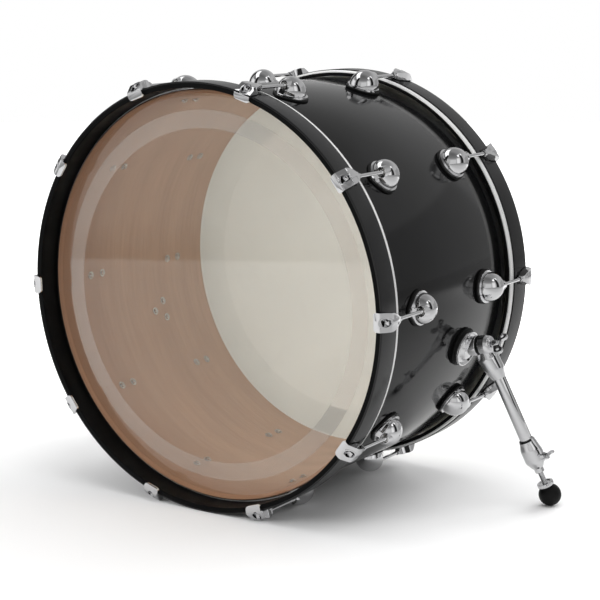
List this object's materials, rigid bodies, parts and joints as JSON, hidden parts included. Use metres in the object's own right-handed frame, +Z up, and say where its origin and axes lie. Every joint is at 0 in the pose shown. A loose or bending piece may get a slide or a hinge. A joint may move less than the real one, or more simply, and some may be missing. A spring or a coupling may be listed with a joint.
{
  "type": "bass drum",
  "caption": "Bass drum with a clear batter head, a white resonant head, wooden hoops held by claws and key rods to round shell lugs, and two folding telescopic spurs.",
  "frame": {"origin": "on the floor, under the middle of the drum's bounding box", "axes": "+Z up; -Y is the audience side with the white resonant head, +Y the player's side with the clear batter head; +X to the right seen from the audience side. The drum's own axis lies in the YZ plane and rises 2.14 degrees towards -Y, because the spurs lift that end"},
  "size_m": [0.8472, 0.454, 0.6489],
  "materials": {
    "black_lacquer": "gloss",
    "chrome": "polished",
    "aluminium": "satin",
    "clear_film": "gloss",
    "white_film": "satin",
    "black_rubber": "matte"
  },
  "bodies": {
    "drum": {"shell": "black_lacquer", "batter_head_film": "clear_film", "batter_head_rim": "aluminium", "batter_hoop": "black_lacquer", "reso_head_film": "white_film", "reso_head_rim": "aluminium", "reso_hoop": "black_lacquer", "batter_lug_01": "chrome", "batter_lug_02": "chrome", "batter_lug_03": "chrome", "batter_lug_04": "chrome", "batter_lug_05": "chrome", "batter_lug_06": "chrome", "batter_lug_07": "chrome", "batter_lug_08": "chrome", "batter_lug_09": "chrome", "batter_lug_10": "chrome", "reso_lug_01": "chrome", "reso_lug_02": "chrome", "reso_lug_03": "chrome", "reso_lug_04": "chrome", "reso_lug_05": "chrome", "reso_lug_06": "chrome", "reso_lug_07": "chrome", "reso_lug_08": "chrome", "reso_lug_09": "chrome", "reso_lug_10": "chrome", "left_spur_bracket": "chrome", "right_spur_bracket": "chrome"},
    "batter_claw_rod_01": {"batter_claw_rod_01": "chrome"},
    "batter_claw_rod_02": {"batter_claw_rod_02": "chrome"},
    "batter_claw_rod_03": {"batter_claw_rod_03": "chrome"},
    "batter_claw_rod_04": {"batter_claw_rod_04": "chrome"},
    "batter_claw_rod_05": {"batter_claw_rod_05": "chrome"},
    "batter_claw_rod_06": {"batter_claw_rod_06": "chrome"},
    "batter_claw_rod_07": {"batter_claw_rod_07": "chrome"},
    "batter_claw_rod_08": {"batter_claw_rod_08": "chrome"},
    "batter_claw_rod_09": {"batter_claw_rod_09": "chrome"},
    "batter_claw_rod_10": {"batter_claw_rod_10": "chrome"},
    "reso_claw_rod_01": {"reso_claw_rod_01": "chrome"},
    "reso_claw_rod_02": {"reso_claw_rod_02": "chrome"},
    "reso_claw_rod_03": {"reso_claw_rod_03": "chrome"},
    "reso_claw_rod_04": {"reso_claw_rod_04": "chrome"},
    "reso_claw_rod_05": {"reso_claw_rod_05": "chrome"},
    "reso_claw_rod_06": {"reso_claw_rod_06": "chrome"},
    "reso_claw_rod_07": {"reso_claw_rod_07": "chrome"},
    "reso_claw_rod_08": {"reso_claw_rod_08": "chrome"},
    "reso_claw_rod_09": {"reso_claw_rod_09": "chrome"},
    "reso_claw_rod_10": {"reso_claw_rod_10": "chrome"},
    "left_spur_leg": {"left_spur_leg": "chrome"},
    "left_spur_inner_rod": {"left_spur_inner_rod": "chrome"},
    "left_spur_foot": {"left_spur_foot": "black_rubber"},
    "left_spur_pivot_wing_bolt": {"left_spur_pivot_wing_bolt": "chrome"},
    "left_spur_clamp_wing_bolt": {"left_spur_clamp_wing_bolt": "chrome"},
    "right_spur_leg": {"right_spur_leg": "chrome"},
    "right_spur_inner_rod": {"right_spur_inner_rod": "chrome"},
    "right_spur_foot": {"right_spur_foot": "black_rubber"},
    "right_spur_pivot_wing_bolt": {"right_spur_pivot_wing_bolt": "chrome"},
    "right_spur_clamp_wing_bolt": {"right_spur_clamp_wing_bolt": "chrome"}
  },
  "joints": [
    {"name": "batter_claw_rod_01_back_off", "type": "slide", "parent": "drum", "child": "batter_claw_rod_01", "axis": [0, 0.9993, -0.0373], "range_m": [0, 0.015]},
    {"name": "batter_claw_rod_02_back_off", "type": "slide", "parent": "drum", "child": "batter_claw_rod_02", "axis": [0, 0.9993, -0.0373], "range_m": [0, 0.015]},
    {"name": "batter_claw_rod_03_back_off", "type": "slide", "parent": "drum", "child": "batter_claw_rod_03", "axis": [0, 0.9993, -0.0373], "range_m": [0, 0.015]},
    {"name": "batter_claw_rod_04_back_off", "type": "slide", "parent": "drum", "child": "batter_claw_rod_04", "axis": [0, 0.9993, -0.0373], "range_m": [0, 0.015]},
    {"name": "batter_claw_rod_05_back_off", "type": "slide", "parent": "drum", "child": "batter_claw_rod_05", "axis": [0, 0.9993, -0.0373], "range_m": [0, 0.015]},
    {"name": "batter_claw_rod_06_back_off", "type": "slide", "parent": "drum", "child": "batter_claw_rod_06", "axis": [0, 0.9993, -0.0373], "range_m": [0, 0.015]},
    {"name": "batter_claw_rod_07_back_off", "type": "slide", "parent": "drum", "child": "batter_claw_rod_07", "axis": [0, 0.9993, -0.0373], "range_m": [0, 0.015]},
    {"name": "batter_claw_rod_08_back_off", "type": "slide", "parent": "drum", "child": "batter_claw_rod_08", "axis": [0, 0.9993, -0.0373], "range_m": [0, 0.015]},
    {"name": "batter_claw_rod_09_back_off", "type": "slide", "parent": "drum", "child": "batter_claw_rod_09", "axis": [0, 0.9993, -0.0373], "range_m": [0, 0.015]},
    {"name": "batter_claw_rod_10_back_off", "type": "slide", "parent": "drum", "child": "batter_claw_rod_10", "axis": [0, 0.9993, -0.0373], "range_m": [0, 0.015]},
    {"name": "reso_claw_rod_01_back_off", "type": "slide", "parent": "drum", "child": "reso_claw_rod_01", "axis": [0, -0.9993, 0.0373], "range_m": [0, 0.015]},
    {"name": "reso_claw_rod_02_back_off", "type": "slide", "parent": "drum", "child": "reso_claw_rod_02", "axis": [0, -0.9993, 0.0373], "range_m": [0, 0.015]},
    {"name": "reso_claw_rod_03_back_off", "type": "slide", "parent": "drum", "child": "reso_claw_rod_03", "axis": [0, -0.9993, 0.0373], "range_m": [0, 0.015]},
    {"name": "reso_claw_rod_04_back_off", "type": "slide", "parent": "drum", "child": "reso_claw_rod_04", "axis": [0, -0.9993, 0.0373], "range_m": [0, 0.015]},
    {"name": "reso_claw_rod_05_back_off", "type": "slide", "parent": "drum", "child": "reso_claw_rod_05", "axis": [0, -0.9993, 0.0373], "range_m": [0, 0.015]},
    {"name": "reso_claw_rod_06_back_off", "type": "slide", "parent": "drum", "child": "reso_claw_rod_06", "axis": [0, -0.9993, 0.0373], "range_m": [0, 0.015]},
    {"name": "reso_claw_rod_07_back_off", "type": "slide", "parent": "drum", "child": "reso_claw_rod_07", "axis": [0, -0.9993, 0.0373], "range_m": [0, 0.015]},
    {"name": "reso_claw_rod_08_back_off", "type": "slide", "parent": "drum", "child": "reso_claw_rod_08", "axis": [0, -0.9993, 0.0373], "range_m": [0, 0.015]},
    {"name": "reso_claw_rod_09_back_off", "type": "slide", "parent": "drum", "child": "reso_claw_rod_09", "axis": [0, -0.9993, 0.0373], "range_m": [0, 0.015]},
    {"name": "reso_claw_rod_10_back_off", "type": "slide", "parent": "drum", "child": "reso_claw_rod_10", "axis": [0, -0.9993, 0.0373], "range_m": [0, 0.015]},
    {"name": "left_spur_fold", "type": "hinge", "parent": "drum", "child": "left_spur_leg", "pos_m": [-0.3315, -0.05207, 0.24834], "axis": [0.9848, -0.0065, -0.1735], "range_deg": [0, 105]},
    {"name": "left_spur_extend", "type": "slide", "parent": "left_spur_leg", "child": "left_spur_inner_rod", "axis": [-0.2956, -0.2895, -0.9104], "range_m": [0, 0.09]},
    {"name": "left_spur_foot_turn", "type": "hinge", "parent": "left_spur_inner_rod", "child": "left_spur_foot", "pos_m": [-0.4066, -0.12562, 0.017], "axis": [-0.2956, -0.2895, -0.9104], "continuous": true},
    {"name": "left_spur_pivot_wing_bolt_turn", "type": "hinge", "parent": "drum", "child": "left_spur_pivot_wing_bolt", "pos_m": [-0.3315, -0.05207, 0.24834], "axis": [-0.9848, 0.0065, 0.1735], "continuous": true},
    {"name": "left_spur_clamp_wing_bolt_turn", "type": "hinge", "parent": "left_spur_leg", "child": "left_spur_clamp_wing_bolt", "pos_m": [-0.38766, -0.10706, 0.07536], "axis": [-0.9543, 0.0449, 0.2955], "continuous": true},
    {"name": "right_spur_fold", "type": "hinge", "parent": "drum", "child": "right_spur_leg", "pos_m": [0.3315, -0.05207, 0.24834], "axis": [0.9848, 0.0065, 0.1735], "range_deg": [0, 105]},
    {"name": "right_spur_extend", "type": "slide", "parent": "right_spur_leg", "child": "right_spur_inner_rod", "axis": [0.2956, -0.2895, -0.9104], "range_m": [0, 0.09]},
    {"name": "right_spur_foot_turn", "type": "hinge", "parent": "right_spur_inner_rod", "child": "right_spur_foot", "pos_m": [0.4066, -0.12562, 0.017], "axis": [0.2956, -0.2895, -0.9104], "continuous": true},
    {"name": "right_spur_pivot_wing_bolt_turn", "type": "hinge", "parent": "drum", "child": "right_spur_pivot_wing_bolt", "pos_m": [0.3315, -0.05207, 0.24834], "axis": [0.9848, 0.0065, 0.1735], "continuous": true},
    {"name": "right_spur_clamp_wing_bolt_turn", "type": "hinge", "parent": "right_spur_leg", "child": "right_spur_clamp_wing_bolt", "pos_m": [0.38766, -0.10706, 0.07536], "axis": [0.9543, 0.0449, 0.2955], "continuous": true}
  ]
}
